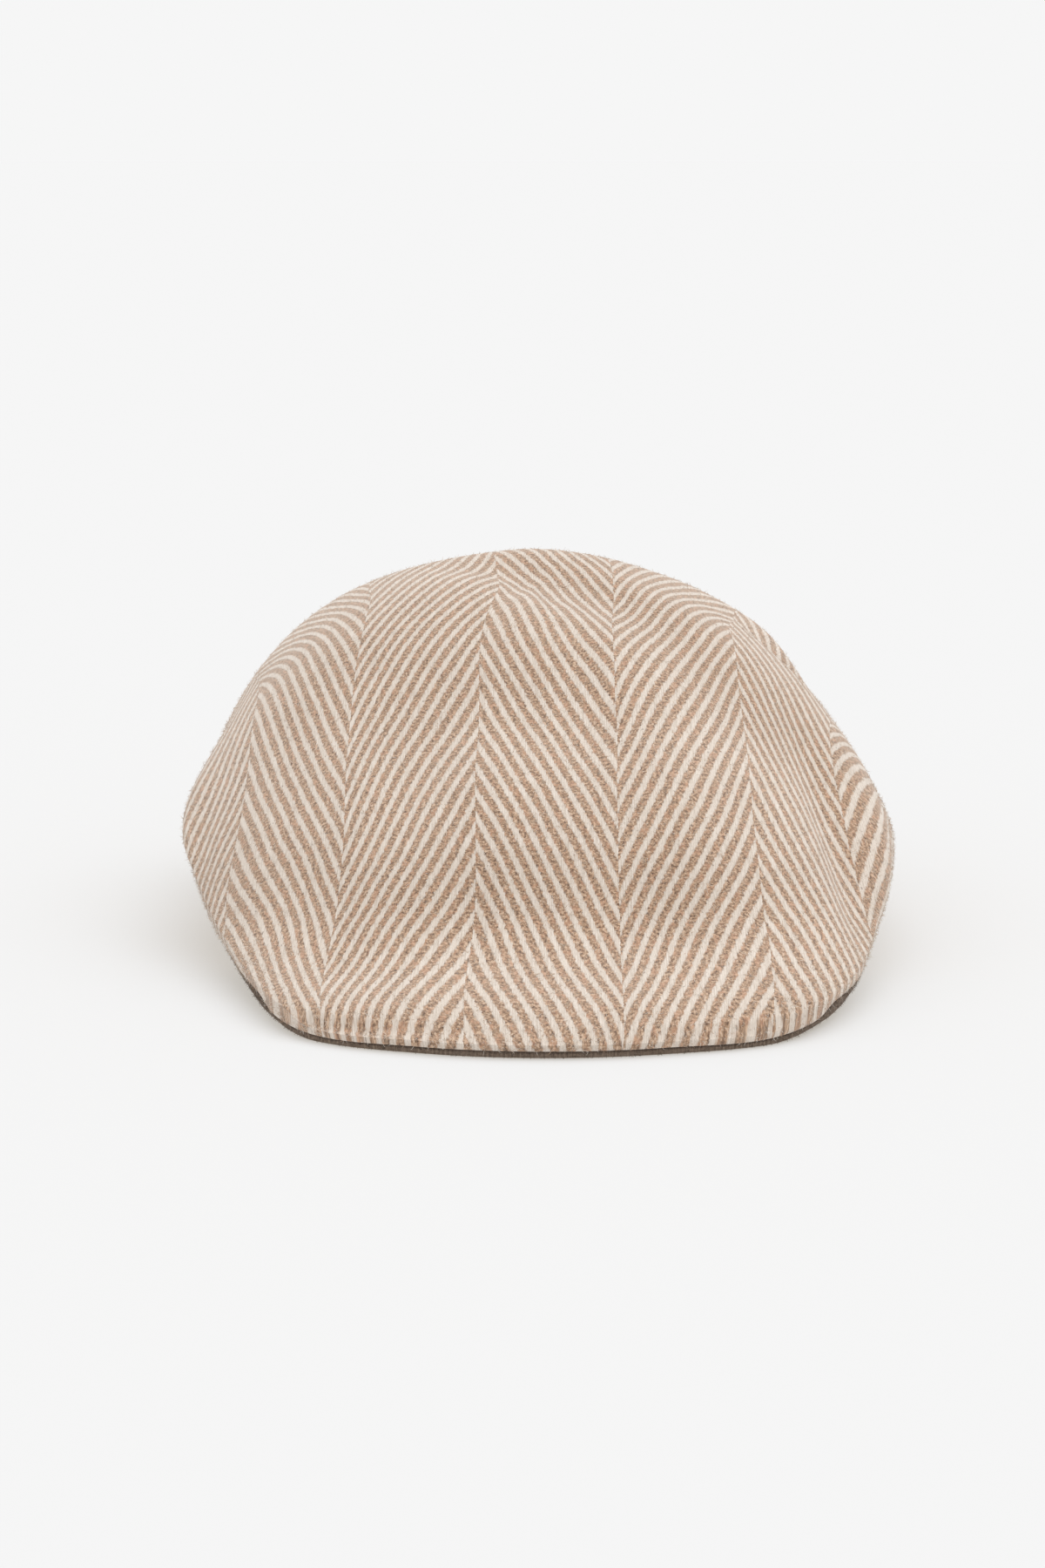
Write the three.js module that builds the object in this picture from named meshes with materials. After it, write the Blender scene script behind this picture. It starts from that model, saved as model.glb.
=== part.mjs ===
// Flat cap with a one-piece top: the top panel runs from the back of the crown
// over the front edge of the peak.  Two side panels close the crown underneath,
// from the overhanging edge in to the head opening, and meet at the centre back.
// The peak is a stiff crescent under the front of the top panel.
// Millimetres, +Z up, the peak points to -Y.  Left and right are as seen from
// the front: left is -X, the wearer's right.
import * as THREE from 'three';

// ---- driving sizes -------------------------------------------------------
const CLOTH = 1.8;            // wool wall of the crown and sides
const HEM = 3.0;              // cloth turned up double at the head opening
const PEAK_THICK = 3.3;       // peak board in its cloth
const PEAK_TIP = 0.4;         // least thickness, at the peak's corners
const GAP = 0.45;             // clearance between neighbouring pieces
const SEAM_GAP = 0.9;         // the same along the slanting seam of peak and sides
const CROWN_MIDDLE_Y = 45;    // the sections below are measured round this point
const CROWN_HEIGHT = 127.6;   // height of the crown's middle, before its folds
const EQUATOR = 0.93;         // share of the panel above its widest line
const APEX_SOFT = 0.3;        // rounds the crown's middle
const TUCK_TURN = 65;         // degrees the cloth turns under, past its widest line
const PANEL_R = 150;          // radius of the flat panel on which folds are placed
const HEAD = { y: 18, halfWidth: 84, halfLength: 100 };   // head opening
const FRONT_RISE = 13;        // the opening's front stands this much higher
const PEAK_END = 50;          // degrees from the front to the peak's corner
const SIDE_START = 35;        // degrees from the front to a side panel's end
const STEPS = { round: 72, out: 18, side: 34, wall: 8, peak: 6 };

// ---- crown sections ------------------------------------------------------
// phi: degrees from the front; radius: widest point; edge: its height;
// shoulder, fullness: exponents of the section from the middle to the edge.
const SECTIONS = {
  left: [
    //phi  radius  edge  shoulder fullness
    [0,     185.0,  4.5,  1.63, 0.80],
    [12,    183.9,  4.5,  1.62, 0.80],
    [24,    181.2,  4.8,  1.53, 0.80],
    [36,    163.3, 11.8,  1.65, 0.90],
    [50,    147.0, 20.9,  1.83, 1.07],
    [65,    134.1, 33.5,  2.08, 1.22],
    [90,    124.7, 40.8,  2.45, 1.43],
    [120,   127.4, 46.6,  2.64, 1.63],
    [150,   102.7, 45.9,  2.54, 1.74],
    [180,   100.0, 48.0,  2.40, 1.85],
  ],
  right: [
    [0,     185.0,  4.5,  1.63, 0.80],
    [12,    185.0,  4.5,  1.37, 0.89],
    [24,    185.1,  4.9,  1.30, 1.08],
    [36,    172.8, 12.6,  1.43, 1.04],
    [50,    151.5, 21.0,  1.64, 1.09],
    [65,    137.8, 36.2,  1.86, 1.23],
    [90,    123.4, 37.6,  2.08, 1.42],
    [120,   125.8, 39.4,  2.33, 1.63],
    [150,   110.7, 46.5,  2.39, 1.75],
    [180,   100.0, 48.0,  2.40, 1.85],
  ],
};

// ---- folds and dents of the top panel ------------------------------------
// across, back: place on the flat panel; turn: degrees; length, width: reach;
// height: out of the cloth (+) or into it (-).
const FOLDS = [
  //name              across  back    turn length width height
  ['peak_ledge',         0.0, -116.0,    0,  42.7,  8.1,  -1.7],
  ['front_puff',         0.0,  -83.4,    0,  56.3, 13.8,  -8.2],
  ['brow',               0.0,  -40.0,    0,  60.0, 12.0,  -5.6],
  ['right_valley',      73.0,  -60.0,  -72,  28.0,  8.5,  -4.2],
  ['right_pouch',       97.0,  -58.0,  -72,  28.0, 12.0,   3.5],
  ['right_shoulder',    80.0,   18.0,   20,  22.0,  9.0,  -3.5],
  ['top_crease',         4.0,   -8.0,  -28,  24.0,  8.0,  -6.7],
  ['top_bump',          -2.0,   16.0,  -20,  26.0, 12.0,   4.2],
  ['left_corner',     -118.0,  -42.0,   80,  30.0, 12.0,   5.5],
];

const rad = THREE.MathUtils.degToRad;
const clamp = THREE.MathUtils.clamp;
const smooth = (x) => { const t = clamp(x, 0, 1); return t * t * (3 - 2 * t); };

// Smooth closed curve through one column of the section table.
function columnCurve(column) {
  const back = SECTIONS.left[SECTIONS.left.length - 1];
  const rows = [[-180, back[column]]];
  for (const row of SECTIONS.left.slice(1, -1).reverse()) rows.push([-row[0], row[column]]);
  for (const row of SECTIONS.right) rows.push([row[0], row[column]]);
  const last = rows.length - 1;
  const width = (i) => rows[i + 1][0] - rows[i][0];
  const rise = (i) => (rows[i + 1][1] - rows[i][1]) / width(i);
  const slopes = rows.map((_, i) => {
    const before = (i === 0 || i === last) ? last - 1 : i - 1;
    const after = (i === 0 || i === last) ? 0 : i;
    return (rise(before) * width(after) + rise(after) * width(before)) / (width(before) + width(after));
  });
  return (phi) => {
    const p = ((phi + 180) % 360 + 360) % 360 - 180;
    let i = 0;
    while (i < last - 1 && p >= rows[i + 1][0]) i += 1;
    const h = width(i), t = (p - rows[i][0]) / h;
    return (2 * t ** 3 - 3 * t ** 2 + 1) * rows[i][1] + (t ** 3 - 2 * t ** 2 + t) * h * slopes[i]
      + (3 * t ** 2 - 2 * t ** 3) * rows[i + 1][1] + (t ** 3 - t ** 2) * h * slopes[i + 1];
  };
}
const radiusAt = columnCurve(1), edgeAt = columnCurve(2), shoulderAt = columnCurve(3), fullnessAt = columnCurve(4);

// Plain crown skin, without folds.  out: 0 middle, EQUATOR widest line, 1 seam.
function plainCrown(phi, out) {
  const edge = edgeAt(phi), n = shoulderAt(phi);
  const rho = Math.sin(Math.min(out / EQUATOR, 1) * Math.PI / 2);
  const w = rho > 0 ? rho ** n * ((1 + APEX_SOFT) * rho / (rho + APEX_SOFT)) ** Math.max(0, 2 - n) : 0;
  let z = edge + (CROWN_HEIGHT - edge) * Math.max(1 - w, 0) ** (1 / fullnessAt(phi));
  let r = radiusAt(phi) * rho;
  if (out > EQUATOR) {                       // the cloth turns under to the seam
    const side = clamp((edge - 5) / 30, 0, 1);
    const turn = (out - EQUATOR) / (1 - EQUATOR) * rad(TUCK_TURN);
    r -= (0.6 + 8 * side) * (1 - Math.cos(turn));
    z -= (2.3 + 12 * side) * Math.sin(turn);
  }
  return new THREE.Vector3(r * Math.sin(rad(phi)), CROWN_MIDDLE_Y - r * Math.cos(rad(phi)), z);
}

function foldHeight(phi, out) {
  const x = PANEL_R * out * Math.sin(rad(phi)), y = -PANEL_R * out * Math.cos(rad(phi));
  let sum = 0;
  for (const [, across, back, turn, length, width, height] of FOLDS) {
    const c = Math.cos(rad(turn)), s = Math.sin(rad(turn));
    const a = (x - across) * c + (y - back) * s, b = -(x - across) * s + (y - back) * c;
    sum += height * Math.exp(-((a / length) ** 2) - (b / width) ** 2);
  }
  return sum * smooth((1 - out) * 9);
}

// Outward normal of a skin over the panel's disc, by central differences.
function skinNormal(skin, phi, out) {
  const e = 0.004;
  let dx = out * Math.sin(rad(phi)), dy = -out * Math.cos(rad(phi));
  const keep = Math.min(1, 0.995 / (Math.hypot(dx, dy) + e));
  dx *= keep; dy *= keep;
  const at = (x, y) => skin(THREE.MathUtils.radToDeg(Math.atan2(x, -y)), Math.hypot(x, y));
  const a = at(dx + e, dy).sub(at(dx - e, dy));
  const b = at(dx, dy + e).sub(at(dx, dy - e));
  return a.cross(b).normalize();
}

function crownOuter(phi, out) {
  const n = skinNormal(plainCrown, phi, out);
  return plainCrown(phi, out).addScaledVector(n, foldHeight(phi, out));
}

// Inside of the cloth.  Round the edge the offset turns evenly, so that it
// never crosses itself in the tight front edge.
function crownInner(phi, out) {
  const near = skinNormal(crownOuter, phi, Math.min(out, 0.8));
  const turn = clamp((out - 0.8) / 0.2, 0, 1);
  const n = near.lerp(skinNormal(crownOuter, phi, 1), turn).normalize();
  return crownOuter(phi, out).addScaledVector(n, -CLOTH);
}

// ---- underside: from the crown's seam in to the head opening ---------------
const peakShare = (phi) => 1 - smooth((Math.abs(phi) - 38) / 24);   // 1 peak, 0 side

function headPoint(phi, seam) {
  const dx = seam.x, dy = seam.y - HEAD.y, d = Math.hypot(dx, dy);
  const r = 1 / Math.hypot(dx / d / HEAD.halfWidth, dy / d / HEAD.halfLength) + HEM;
  const z = FRONT_RISE * (1 - smooth((Math.abs(phi) - 38) / 60));
  return new THREE.Vector3(dx / d * r, HEAD.y + dy / d * r, z);
}

const undersideCache = new Map();
function undersideCurve(phi) {
  const key = phi.toFixed(4);
  if (undersideCache.has(key)) return undersideCache.get(key);
  const k = peakShare(phi);
  const seam = crownOuter(phi, 1);
  const inwards = new THREE.Vector3(-Math.sin(rad(phi)), Math.cos(rad(phi)), 0);
  const start = seam.clone().addScaledVector(inwards, 0.28 + 0.72 * k);
  start.z = Math.max(0, start.z - 1.5 * GAP - 1.9 * k);
  const end = headPoint(phi, seam);
  const flat = end.clone().sub(start).setZ(0).normalize();
  const span = end.distanceTo(start);
  const turned = seam.clone().sub(crownOuter(phi, 0.985)).normalize();
  const leave = turned.lerp(flat, k).normalize();
  const arrive = new THREE.Vector3(0, 0, -1).lerp(flat.clone().setZ(0.25).normalize(), k).normalize();
  const curve = new THREE.CubicBezierCurve3(start, start.clone().addScaledVector(leave, span * 0.36),
    end.clone().addScaledVector(arrive, -span * 0.36), end);
  undersideCache.set(key, curve);
  return curve;
}
const underside = (phi, s) => undersideCurve(phi).getPoint(s);

// Direction from the underside into the cloth.
function undersideInto(phi, s) {
  const a = underside(phi + 0.3, s).sub(underside(phi - 0.3, s));
  const s0 = Math.max(0, s - 0.01), s1 = Math.min(1, s + 0.01);
  const b = underside(phi, s1).sub(underside(phi, s0));
  return b.cross(a).normalize().multiplyScalar(-1);
}

// Where the peak ends and the side panel starts, as a share of the underside.
function peakLimit(phi) {
  const p = Math.abs(phi);
  return p < SIDE_START ? 1 : 0.04 + 0.86 * (1 - smooth((p - SIDE_START) / (PEAK_END - SIDE_START)));
}

// ---- closed wall from two matching sheets of points -------------------------
// outer[i][j], inner[i][j]; wrap joins the last column to the first.
function wall(outer, inner, wrap, apex) {
  const columns = outer.length, rows = outer[0].length, positions = [], index = [], ids = new Map();
  const vertex = (sheet, i, j) => {
    const column = wrap ? i % columns : i;
    const key = `${sheet}|${apex && j === 0 ? 0 : column}|${j}`;
    if (!ids.has(key)) {
      const p = (sheet === 0 ? outer : inner)[apex && j === 0 ? 0 : column][j];
      ids.set(key, positions.length / 3);
      positions.push(p.x, p.y, p.z);
    }
    return ids.get(key);
  };
  const face = (a, b, c) => { if (a !== b && b !== c && c !== a) index.push(a, b, c); };
  const quad = (a, b, c, d) => { face(a, b, c); face(a, c, d); };
  const last = wrap ? columns : columns - 1;
  for (let i = 0; i < last; i += 1) {
    for (let j = 0; j < rows - 1; j += 1) {
      quad(vertex(0, i, j), vertex(0, i, j + 1), vertex(0, i + 1, j + 1), vertex(0, i + 1, j));
      quad(vertex(1, i, j), vertex(1, i + 1, j), vertex(1, i + 1, j + 1), vertex(1, i, j + 1));
    }
    quad(vertex(0, i, rows - 1), vertex(1, i, rows - 1), vertex(1, i + 1, rows - 1), vertex(0, i + 1, rows - 1));
    if (!apex) quad(vertex(0, i + 1, 0), vertex(1, i + 1, 0), vertex(1, i, 0), vertex(0, i, 0));
  }
  if (!wrap) {
    for (let j = 0; j < rows - 1; j += 1) {
      quad(vertex(0, 0, j + 1), vertex(0, 0, j), vertex(1, 0, j), vertex(1, 0, j + 1));
      quad(vertex(0, last, j), vertex(0, last, j + 1), vertex(1, last, j + 1), vertex(1, last, j));
    }
  }
  const geometry = new THREE.BufferGeometry();
  geometry.setAttribute('position', new THREE.Float32BufferAttribute(positions, 3));
  let volume = 0;
  const at = (i) => new THREE.Vector3(positions[3 * i], positions[3 * i + 1], positions[3 * i + 2]);
  for (let i = 0; i < index.length; i += 3) volume += at(index[i]).dot(at(index[i + 1]).cross(at(index[i + 2])));
  if (volume < 0) index.reverse();
  geometry.setIndex(index);
  geometry.computeVertexNormals();
  return geometry;
}

// ---- crown top ---------------------------------------------------------------
function crownTop() {
  const outer = [], inner = [];
  // rows close up towards the edge, where the cloth turns
  const shares = [];
  for (let j = 0; j <= STEPS.out; j += 1) shares.push(j / STEPS.out);
  const outs = shares.map((q) => (q < 0.8 ? q / 0.8 * 0.86 : 0.86 + (q - 0.8) / 0.2 * 0.14));
  for (let i = 0; i < STEPS.round; i += 1) {
    const phi = i / STEPS.round * 360;
    outer.push(outs.map((out) => crownOuter(phi, out)));
    inner.push(outs.map((out) => crownInner(phi, out)));
  }
  return wall(outer, inner, true, true);
}

// ---- side panels ---------------------------------------------------------------
function sidePanel(sign) {
  const outer = [], inner = [];
  for (let i = 0; i <= STEPS.side; i += 1) {
    const phi = sign * THREE.MathUtils.lerp(SIDE_START + 0.3, 179.86, (i / STEPS.side) ** 1.1);
    const length = undersideCurve(phi).getLength();
    const inPeak = Math.abs(phi) < PEAK_END + 1;
    const from = inPeak ? peakLimit(phi) + SEAM_GAP / length : 0;
    const outerColumn = [], innerColumn = [];
    for (let j = 0; j <= STEPS.wall; j += 1) {
      const s = THREE.MathUtils.lerp(from, 1, j / STEPS.wall);
      const p = underside(phi, s);
      const thick = CLOTH + (HEM - CLOTH) * smooth((s - 0.75) / 0.2);
      const q = p.clone().addScaledVector(undersideInto(phi, s), thick);
      if (j === STEPS.wall && Math.abs(phi) > 98) { p.z = 0; q.z = 0; }
      outerColumn.push(p); innerColumn.push(q);
    }
    outer.push(outerColumn); inner.push(innerColumn);
  }
  return wall(outer, inner, false, false);
}

// ---- peak -------------------------------------------------------------------------
// Height that the peak may reach under the crown, at one place along a section.
// Next to the turned-under edge it stays low and rises evenly inwards.
function roomUnderCrown(phi, r) {
  const seam = crownOuter(phi, 1), rim = crownInner(phi, 1);
  const inwards = Math.hypot(rim.x, rim.y - CROWN_MIDDLE_Y) - r;
  const besideEdge = seam.z - 0.1 + Math.max(0, inwards - 0.3) * 0.9;
  let before = rim;
  for (let out = 0.99; out > 0.3; out -= 0.01) {
    const p = crownInner(phi, out);
    const ra = Math.hypot(before.x, before.y - CROWN_MIDDLE_Y), rb = Math.hypot(p.x, p.y - CROWN_MIDDLE_Y);
    if (rb <= r && ra >= r) {
      return Math.min(besideEdge, before.z + (p.z - before.z) * (ra - r) / Math.max(1e-6, ra - rb));
    }
    before = p;
  }
  return besideEdge;
}

function peak() {
  const outer = [], inner = [], angles = [];
  const half = 13;
  for (let i = 0; i <= half; i += 1) angles.push(-(SIDE_START - 0.2) + 2 * (SIDE_START - 0.2) * i / half);
  const corner = [];
  for (let i = 0; i <= 5; i += 1) corner.push(THREE.MathUtils.lerp(SIDE_START, PEAK_END, i / 5));
  const all = [...corner.map((p) => -p).reverse(), ...angles, ...corner];
  for (const phi of all) {
    const length = undersideCurve(phi).getLength();
    const to = peakLimit(phi) - (Math.abs(phi) >= SIDE_START ? SEAM_GAP / length : 0);
    const seam = crownOuter(phi, 1);
    const outerColumn = [], innerColumn = [];
    for (let j = 0; j <= STEPS.peak; j += 1) {
      const s = to * (j / STEPS.peak) ** 1.5;
      const p = underside(phi, s), q = p.clone();
      if (j === 0) q.z = seam.z - GAP - 0.9 + 1.1 * peakShare(phi);
      else {
        const r = Math.hypot(p.x, p.y - CROWN_MIDDLE_Y);
        q.z = Math.min(p.z + PEAK_THICK, roomUnderCrown(phi, r) - (4.5 - 2.5 * peakShare(phi)) * GAP);
      }
      q.z = Math.max(q.z, p.z + PEAK_TIP);
      outerColumn.push(p); innerColumn.push(q);
    }
    outer.push(outerColumn); inner.push(innerColumn);
  }
  return wall(outer, inner, false, false);
}

// ---- the object --------------------------------------------------------------------
const wool = (color) => new THREE.MeshStandardMaterial({ color, roughness: 0.95, metalness: 0 });
const pieces = [
  ['crown_top', crownTop(), 0xd2bda8],
  ['side_left', sidePanel(-1), 0xc9b29c],
  ['side_right', sidePanel(1), 0xc4ad97],
  ['peak', peak(), 0x7d6d60],
];
const cap = new THREE.Group();
cap.name = 'flat_cap';
const box = new THREE.Box3();
for (const [name, geometry, color] of pieces) {
  const mesh = new THREE.Mesh(geometry, wool(color));
  mesh.name = name;
  geometry.computeBoundingBox();
  box.union(geometry.boundingBox);
  cap.add(mesh);
}
// stand the cap over its own middle
const middle = box.getCenter(new THREE.Vector3());
for (const mesh of cap.children) mesh.position.set(-middle.x, -middle.y, -box.min.z);

export default cap;
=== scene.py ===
import math
import bpy
import bmesh
import numpy as np
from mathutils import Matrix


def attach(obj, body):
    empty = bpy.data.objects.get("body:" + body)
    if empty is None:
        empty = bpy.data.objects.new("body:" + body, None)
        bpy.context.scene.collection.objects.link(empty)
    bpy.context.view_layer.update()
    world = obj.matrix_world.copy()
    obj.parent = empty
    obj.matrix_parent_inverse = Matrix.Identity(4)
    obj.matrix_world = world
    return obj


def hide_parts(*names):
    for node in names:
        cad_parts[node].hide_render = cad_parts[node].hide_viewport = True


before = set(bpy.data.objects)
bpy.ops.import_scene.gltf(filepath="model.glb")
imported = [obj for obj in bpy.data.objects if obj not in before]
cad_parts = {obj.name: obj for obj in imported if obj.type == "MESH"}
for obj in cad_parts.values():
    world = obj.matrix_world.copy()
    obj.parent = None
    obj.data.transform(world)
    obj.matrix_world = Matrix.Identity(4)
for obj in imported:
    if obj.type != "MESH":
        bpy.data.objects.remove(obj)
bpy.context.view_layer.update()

SHIFT = np.array([0.337250, -2.931313, 0.0])      # mm, sections' frame to the cap's
FINE = 257            # vertices along one side of the top panel's grid
COARSE = 65           # the same for the inside of the cloth
rng = np.random.default_rng(20261)

# ---- the cap's curves, as in its solid model ---------------------------------
CLOTH, HEM, PEAK_THICK, PEAK_TIP, GAP, SEAM_GAP = 1.8, 3.0, 3.3, 0.4, 0.45, 0.9
MIDDLE_Y, TOP, EQUATOR, SOFT, TUCK = 45.0, 127.6, 0.93, 0.3, 65.0
PANEL_R = 150.0
FRONT_OUT = 4.6
CORNER_IN = 1.4
FRONT_ROLL = 2.9
HEAD_Y, HEAD_W, HEAD_L = 18.0, 84.0, 100.0
FRONT_RISE, PEAK_END, SIDE_START = 13.0, 50.0, 35.0

# degrees from the front, radius, edge height, shoulder, fullness
LEFT = [(0, 185.0, 4.5, 1.63, 0.80), (12, 183.9, 4.5, 1.62, 0.80), (24, 181.2, 4.8, 1.53, 0.80),
        (36, 163.3, 11.8, 1.65, 0.90), (50, 147.0, 20.9, 1.83, 1.07), (65, 134.1, 33.5, 2.08, 1.22),
        (90, 124.7, 40.8, 2.45, 1.43), (120, 127.4, 46.6, 2.64, 1.63), (150, 102.7, 45.9, 2.54, 1.74),
        (180, 100.0, 48.0, 2.40, 1.85)]
RIGHT = [(0, 185.0, 4.5, 1.63, 0.80), (12, 185.0, 4.5, 1.37, 0.89), (24, 185.1, 4.9, 1.30, 1.08),
         (36, 172.8, 12.6, 1.43, 1.04), (50, 151.5, 21.0, 1.64, 1.09), (65, 137.8, 36.2, 1.86, 1.23),
         (90, 123.4, 37.6, 2.08, 1.42), (120, 125.8, 39.4, 2.33, 1.63), (150, 110.7, 46.5, 2.39, 1.75),
         (180, 100.0, 48.0, 2.40, 1.85)]
# place across and back on the flat panel, turn, length, width, height
FOLDS = [(0.0, -116.0, 0, 42.7, 8.1, -1.7), (0.0, -83.4, 0, 56.3, 13.8, -8.2),
         (0.0, -40.0, 0, 60.0, 12.0, -5.6), (73.0, -60.0, -72, 28.0, 8.5, -4.2),
         (97.0, -58.0, -72, 28.0, 12.0, 3.5), (80.0, 18.0, 20, 22.0, 9.0, -3.5),
         (4.0, -8.0, -28, 24.0, 8.0, -6.7), (-2.0, 16.0, -20, 26.0, 12.0, 4.2),
         (-118.0, -42.0, 80, 30.0, 12.0, 5.5)]
# where the cloth is pulled or eased over the form: place on the cloth, pull across, pull along
EASE = [
        (-98, -200, -1.9, -1.3), (-70, -200, 2.9, -3.5), (-42, -200, 5.2, -3.1), (-14, -200, 0.6, 0.8),
        (14, -200, -1.4, 0.6), (42, -200, 0.2, -1.7), (70, -200, -0.2, -1.7), (98, -200, -3.4, -1.0),
        (-112, -176, -1.0, -2.2), (-84, -176, 1.4, -0.6), (-56, -176, 1.9, -2.3), (-28, -176, -2.5, -0.7),
        (0, -176, -0.0, 2.5), (28, -176, -0.2, 0.9), (56, -176, 1.0, -0.1), (84, -176, -1.4, -1.5),
        (112, -176, -4.2, -2.4), (-126, -152, 1.4, -4.3), (-98, -152, -0.4, -1.6), (-70, -152, 0.3, 3.0),
        (-42, -152, -0.3, -0.4), (-14, -152, 0.8, -0.1), (14, -152, -0.1, -0.1), (42, -152, -0.8, 0.9),
        (70, -152, 0.4, 1.4), (98, -152, 0.2, -2.2), (126, -152, -2.9, -3.4), (-140, -128, 4.5, -2.4),
        (-112, -128, 0.2, -3.4), (-84, -128, -1.6, 0.9), (-56, -128, -0.8, -1.0), (-28, -128, -0.9, -0.1),
        (0, -128, 0.2, 2.0), (28, -128, 0.7, -1.1), (56, -128, -0.7, 2.0), (84, -128, 0.4, 0.7),
        (112, -128, 2.1, -4.1), (140, -128, -1.2, -2.8), (-126, -104, -1.9, -0.9), (-98, -104, -4.2, 1.3),
        (-70, -104, 2.3, -1.7), (-42, -104, 2.6, -3.4), (-14, -104, -0.0, 3.2), (14, -104, -1.2, 0.1),
        (42, -104, -0.3, -2.3), (70, -104, 1.1, -0.2), (98, -104, 1.0, -5.7), (126, -104, 1.4, -5.8),
        (-140, -80, -2.0, -1.1), (-112, -80, -3.8, -0.6), (-84, -80, 0.1, 0.8), (-56, -80, -1.0, -3.5),
        (-28, -80, -3.1, -0.9), (0, -80, -1.1, 2.6), (28, -80, 1.7, -3.5), (56, -80, -3.3, -4.7),
        (84, -80, -3.8, -4.1), (112, -80, 5.1, -6.8), (140, -80, 2.1, -3.4), (-126, -56, -2.7, -5.5),
        (-98, -56, -1.0, -4.1), (-70, -56, -2.5, -0.6), (-42, -56, 2.1, -3.0), (-14, -56, 3.8, 1.7),
        (14, -56, 1.1, 1.0), (42, -56, 0.5, -4.4), (70, -56, -1.1, -1.9), (98, -56, 9.2, -2.4),
        (126, -56, 6.3, -3.9), (-140, -32, -3.2, -3.9), (-112, -32, -5.0, -8.1), (-84, -32, -4.1, -2.0),
        (-56, -32, -4.1, -0.5), (-28, -32, -2.2, -0.9), (0, -32, -6.7, 0.7), (28, -32, 0.1, -1.3),
        (56, -32, 2.4, -0.1), (84, -32, 4.6, -0.5), (112, -32, -1.4, -4.2), (-126, -8, -1.8, -3.8),
        (-98, -8, -1.6, -3.5), (-70, -8, -4.3, 0.4), (-42, -8, -3.6, 0.6), (-14, -8, -4.1, 2.5), (14, -8, 1.8, 1.1),
        (42, -8, 3.5, 0.7), (70, -8, 1.8, -0.4), (98, -8, -4.9, -3.2), (-112, 16, -0.4, -1.3), (-84, 16, -1.0, -0.4),
        (-56, 16, -1.2, 0.5), (-28, 16, 1.1, 1.7), (0, 16, 1.4, 2.2), (28, 16, -0.1, 0.8), (56, 16, 0.1, -0.2),
        (84, 16, -0.7, -1.0), (112, 16, -3.8, -1.7)]
EASE_REACH = 34.0
# small soft creases that only the fine surface has
# (place across and back, turn, length, width, height)
CREASES = [(69.0, 29.0, 20, 14.0, 9.0, 1.6), (84.0, 21.0, 20, 15.0, 8.0, -2.6)]


def smooth(x):
    t = np.clip(x, 0, 1)
    return t * t * (3 - 2 * t)


def column(c):
    rows = [(-180.0, LEFT[-1][c])] + [(-r[0], r[c]) for r in LEFT[1:-1]][::-1] + [(r[0], r[c]) for r in RIGHT]
    xs = np.array([r[0] for r in rows], float)
    ys = np.array([r[1] for r in rows], float)
    X = np.concatenate([[xs[-2] - 360], xs, [xs[1] + 360]])
    Y = np.concatenate([[ys[-2]], ys, [ys[1]]])
    d, h = np.diff(Y) / np.diff(X), np.diff(X)
    m = (d[:-1] * h[1:] + d[1:] * h[:-1]) / (h[:-1] + h[1:])

    def at(x):
        x = (np.asarray(x, float) + 180) % 360 - 180
        i = np.clip(np.searchsorted(xs, x, side="right") - 1, 0, len(xs) - 2)
        w = xs[i + 1] - xs[i]
        t = (x - xs[i]) / w
        return ((2 * t**3 - 3 * t**2 + 1) * ys[i] + (t**3 - 2 * t**2 + t) * w * m[i]
                + (3 * t**2 - 2 * t**3) * ys[i + 1] + (t**3 - t**2) * w * m[i + 1])
    return at


radius_at, edge_at, shoulder_at, fullness_at = column(1), column(2), column(3), column(4)


def polar(dx, dy):
    return np.degrees(np.arctan2(dx, -dy)), np.hypot(dx, dy)


def plain(phi, out):
    edge, n = edge_at(phi), shoulder_at(phi)
    rho = np.sin(np.minimum(out / EQUATOR, 1) * np.pi / 2)
    w = rho**n * ((1 + SOFT) * rho / (rho + SOFT)) ** np.maximum(0, 2 - n)
    z = edge + (TOP - edge) * np.maximum(1 - w, 0) ** (1 / fullness_at(phi))
    r = radius_at(phi) * rho
    side = np.clip((edge - 5) / 30, 0, 1)
    turn = np.clip((out - EQUATOR) / (1 - EQUATOR), 0, 1) * math.radians(TUCK)
    r = r - (0.6 + 8 * side) * (1 - np.cos(turn))
    z = z - (2.3 + 12 * side) * np.sin(turn)
    a = np.radians(phi)
    return np.stack([r * np.sin(a), MIDDLE_Y - r * np.cos(a), z], -1)


def bumps(phi, out, table):
    a = np.radians(phi)
    x, y = PANEL_R * out * np.sin(a), -PANEL_R * out * np.cos(a)
    total = np.zeros_like(x)
    for across, back, turn, length, width, height in table:
        c, s = math.cos(math.radians(turn)), math.sin(math.radians(turn))
        p, q = (x - across) * c + (y - back) * s, -(x - across) * s + (y - back) * c
        total = total + height * np.exp(-((p / length) ** 2) - (q / width) ** 2)
    return total * smooth((1 - out) * 9)


def normal_of(skin, phi, out):
    a, e = np.radians(phi), 0.004
    dx, dy = out * np.sin(a), -out * np.cos(a)
    keep = np.minimum(1, 0.995 / (np.hypot(dx, dy) + e))
    dx, dy = dx * keep, dy * keep
    n = np.cross(skin(*polar(dx + e, dy)) - skin(*polar(dx - e, dy)),
                 skin(*polar(dx, dy + e)) - skin(*polar(dx, dy - e)))
    return n / (np.linalg.norm(n, axis=-1, keepdims=True) + 1e-12)


def outer_skin(phi, out):
    return plain(phi, out) + normal_of(plain, phi, out) * bumps(phi, out, FOLDS)[..., None]


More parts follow.
